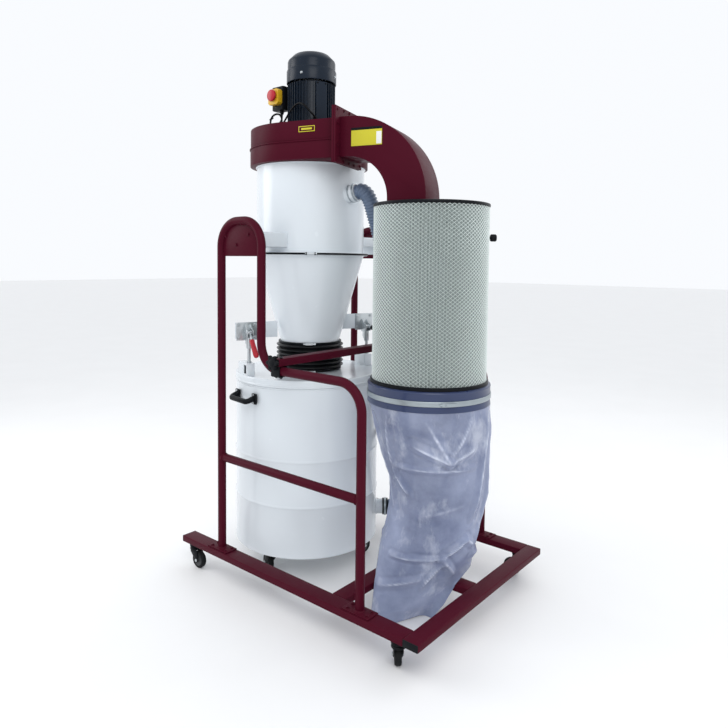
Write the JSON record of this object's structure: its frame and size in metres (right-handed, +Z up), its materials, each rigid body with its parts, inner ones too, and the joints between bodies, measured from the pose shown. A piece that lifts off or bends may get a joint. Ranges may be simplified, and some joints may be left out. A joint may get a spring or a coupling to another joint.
{
  "type": "cyclone dust collector",
  "caption": "Two-stage cyclone dust collector on a wheeled frame: top fan, roll-out drum with a clamped lift lid, pleated filter and collection bag.",
  "frame": {"origin": "on the floor, under the middle of the whole object", "axes": "+Z up; +X from the drum end towards the filter; +Y away from the side with the red clamp handle"},
  "size_m": [1.3412, 0.965, 2.327],
  "materials": {
    "maroon_paint": "satin powder coat",
    "white_paint": "gloss paint",
    "motor_paint": "gloss paint",
    "black_steel": "satin paint",
    "black_plastic": "moulded",
    "zinc_steel": "zinc plated",
    "red_plastic": "moulded",
    "yellow_plastic": "moulded",
    "filter_cloth": "pleated polyester",
    "wheel_rubber": "moulded",
    "black_rubber": "corrugated",
    "hose_plastic": "ribbed",
    "bag_film": "thin clear film"
  },
  "bodies": {
    "frame": {"base_frame": "maroon_paint", "side_frame_near": "maroon_paint", "side_frame_far": "maroon_paint", "cross_bar": "maroon_paint", "fan_housing": "maroon_paint", "outlet_duct": "maroon_paint", "barrel_bracket_near": "white_paint", "barrel_bracket_far": "white_paint", "cyclone_barrel": "white_paint", "inlet_duct": "white_paint", "cyclone_cone": "white_paint", "vortex_tube": "white_paint", "clamp_arm_near": "white_paint", "clamp_arm_far": "white_paint", "motor_body": "motor_paint", "fan_cowl": "motor_paint", "split_ring": "black_steel", "filter_cap": "black_steel", "filter_collar": "black_steel", "switch_box": "black_plastic", "toggle_base_near": "zinc_steel", "toggle_base_far": "zinc_steel", "bellows_clamp_upper": "zinc_steel", "filter_media": "filter_cloth", "bellows_hose": "black_rubber", "motor_lead": "black_rubber", "hose_port": "black_rubber", "relief_hose": "hose_plastic", "collection_bag": "bag_film"},
    "rotor": {"impeller": "zinc_steel", "rotor_shaft": "zinc_steel"},
    "cover": {"switch_cover": "yellow_plastic"},
    "stop": {"stop_button": "red_plastic"},
    "start": {"start_button": "black_plastic"},
    "lid": {"drum_lid": "white_paint", "lift_rod_near": "zinc_steel", "lift_rod_far": "zinc_steel", "bellows_clamp_lower": "zinc_steel"},
    "handle_near": {"toggle_handle_near": "red_plastic"},
    "handle_far": {"toggle_handle_far": "black_plastic"},
    "drum": {"drum_body": "white_paint", "drum_handle_near": "black_steel", "drum_handle_far": "black_steel"},
    "star_near": {"star_knob_near": "black_plastic"},
    "star_far": {"star_knob_far": "black_plastic"},
    "side_knob_body": {"side_knob": "black_plastic"},
    "fork_near_left": {"caster_fork_near_left": "black_steel"},
    "wheel_near_left": {"caster_wheel_near_left": "wheel_rubber"},
    "fork_near_right": {"caster_fork_near_right": "black_steel"},
    "wheel_near_right": {"caster_wheel_near_right": "wheel_rubber"},
    "fork_far_left": {"caster_fork_far_left": "black_steel"},
    "wheel_far_left": {"caster_wheel_far_left": "wheel_rubber"},
    "fork_far_right": {"caster_fork_far_right": "black_steel"},
    "wheel_far_right": {"caster_wheel_far_right": "wheel_rubber"},
    "fork_drum_a": {"caster_fork_drum_a": "black_steel"},
    "wheel_drum_a": {"caster_wheel_drum_a": "wheel_rubber"},
    "fork_drum_b": {"caster_fork_drum_b": "black_steel"},
    "wheel_drum_b": {"caster_wheel_drum_b": "wheel_rubber"},
    "fork_drum_c": {"caster_fork_drum_c": "black_steel"},
    "wheel_drum_c": {"caster_wheel_drum_c": "wheel_rubber"}
  },
  "joints": [
    {"name": "fan_spin", "type": "hinge", "parent": "frame", "child": "rotor", "pos_m": [-0.2885, -0.0015, 1.9], "axis": [0, 0, 1], "continuous": true},
    {"name": "cover_flap", "type": "hinge", "parent": "frame", "child": "cover", "pos_m": [-0.4265, -0.0853, 2.176], "axis": [-1, 0, 0], "range_deg": [0, 85]},
    {"name": "stop_press", "type": "slide", "parent": "cover", "child": "stop", "axis": [0, 1, 0], "range_m": [0, 0.004], "stiffness_N_per_m": 400},
    {"name": "start_press", "type": "slide", "parent": "frame", "child": "start", "axis": [0, 1, 0], "range_m": [0, 0.003], "stiffness_N_per_m": 400},
    {"name": "lid_lift", "type": "slide", "parent": "frame", "child": "lid", "axis": [0, 0, 1], "range_m": [0, 0.035], "deforming": ["bellows_hose"]},
    {"name": "near_clamp_turn", "type": "hinge", "parent": "frame", "child": "handle_near", "pos_m": [-0.35177, -0.31531, 1.072], "axis": [-0.309, -0.9511, 0], "range_deg": [0, 112]},
    {"name": "far_clamp_turn", "type": "hinge", "parent": "frame", "child": "handle_far", "pos_m": [-0.16234, 0.26769, 1.072], "axis": [-0.309, -0.9511, 0], "range_deg": [0, 62]},
    {"name": "drum_roll_out", "type": "slide", "parent": "frame", "child": "drum", "axis": [-1, 0, 0], "range_m": [0, 0.9]},
    {"name": "star_turn_near", "type": "hinge", "parent": "frame", "child": "star_near", "pos_m": [-0.0305, -0.472, 0.991], "axis": [0, 1, 0], "continuous": true},
    {"name": "star_turn_far", "type": "hinge", "parent": "frame", "child": "star_far", "pos_m": [-0.0305, 0.472, 0.991], "axis": [0, 1, 0], "continuous": true},
    {"name": "side_knob_turn", "type": "hinge", "parent": "frame", "child": "side_knob_body", "pos_m": [0.56435, 0.15377, 1.488], "axis": [0.766, 0.6428, 0], "continuous": true},
    {"name": "swivel_near_left", "type": "hinge", "parent": "frame", "child": "fork_near_left", "pos_m": [-0.5755, -0.4395, 0.09], "axis": [0, 0, 1], "continuous": true},
    {"name": "roll_near_left", "type": "hinge", "parent": "fork_near_left", "child": "wheel_near_left", "pos_m": [-0.5495, -0.4395, 0.0375], "axis": [0, 1, 0], "continuous": true},
    {"name": "swivel_near_right", "type": "hinge", "parent": "frame", "child": "fork_near_right", "pos_m": [0.5685, -0.4395, 0.09], "axis": [0, 0, 1], "continuous": true},
    {"name": "roll_near_right", "type": "hinge", "parent": "fork_near_right", "child": "wheel_near_right", "pos_m": [0.55179, -0.41958, 0.0375], "axis": [-0.766, -0.6428, 0], "continuous": true},
    {"name": "swivel_far_left", "type": "hinge", "parent": "frame", "child": "fork_far_left", "pos_m": [-0.5755, 0.4395, 0.09], "axis": [0, 0, 1], "continuous": true},
    {"name": "roll_far_left", "type": "hinge", "parent": "fork_far_left", "child": "wheel_far_left", "pos_m": [-0.55107, 0.44839, 0.0375], "axis": [-0.342, 0.9397, 0], "continuous": true},
    {"name": "swivel_far_right", "type": "hinge", "parent": "frame", "child": "fork_far_right", "pos_m": [0.5805, 0.4395, 0.09], "axis": [0, 0, 1], "continuous": true},
    {"name": "roll_far_right", "type": "hinge", "parent": "fork_far_right", "child": "wheel_far_right", "pos_m": [0.55607, 0.43061, 0.0375], "axis": [0.342, -0.9397, 0], "continuous": true},
    {"name": "swivel_drum_a", "type": "hinge", "parent": "drum", "child": "fork_drum_a", "pos_m": [-0.27371, -0.25855, 0.09], "axis": [0, 0, 1], "continuous": true},
    {"name": "roll_drum_a", "type": "hinge", "parent": "fork_drum_a", "child": "wheel_drum_a", "pos_m": [-0.29814, -0.24966, 0.0375], "axis": [-0.342, -0.9397, 0], "continuous": true},
    {"name": "swivel_drum_b", "type": "hinge", "parent": "drum", "child": "fork_drum_b", "pos_m": [-0.09071, 0.13389, 0.09], "axis": [0, 0, 1], "continuous": true},
    {"name": "roll_drum_b", "type": "hinge", "parent": "fork_drum_b", "child": "wheel_drum_b", "pos_m": [-0.0862, 0.1595, 0.0375], "axis": [-0.9848, 0.1736, 0], "continuous": true},
    {"name": "swivel_drum_c", "type": "hinge", "parent": "drum", "child": "fork_drum_c", "pos_m": [-0.52208, 0.09615, 0.09], "axis": [0, 0, 1], "continuous": true},
    {"name": "roll_drum_c", "type": "hinge", "parent": "fork_drum_c", "child": "wheel_drum_c", "pos_m": [-0.54651, 0.08726, 0.0375], "axis": [0.342, -0.9397, 0], "continuous": true}
  ],
  "couplings": [
    {"joint": "near_clamp_turn", "follows": "lid_lift", "rad_per_m": 54.85},
    {"joint": "far_clamp_turn", "follows": "lid_lift", "rad_per_m": 29.92}
  ]
}
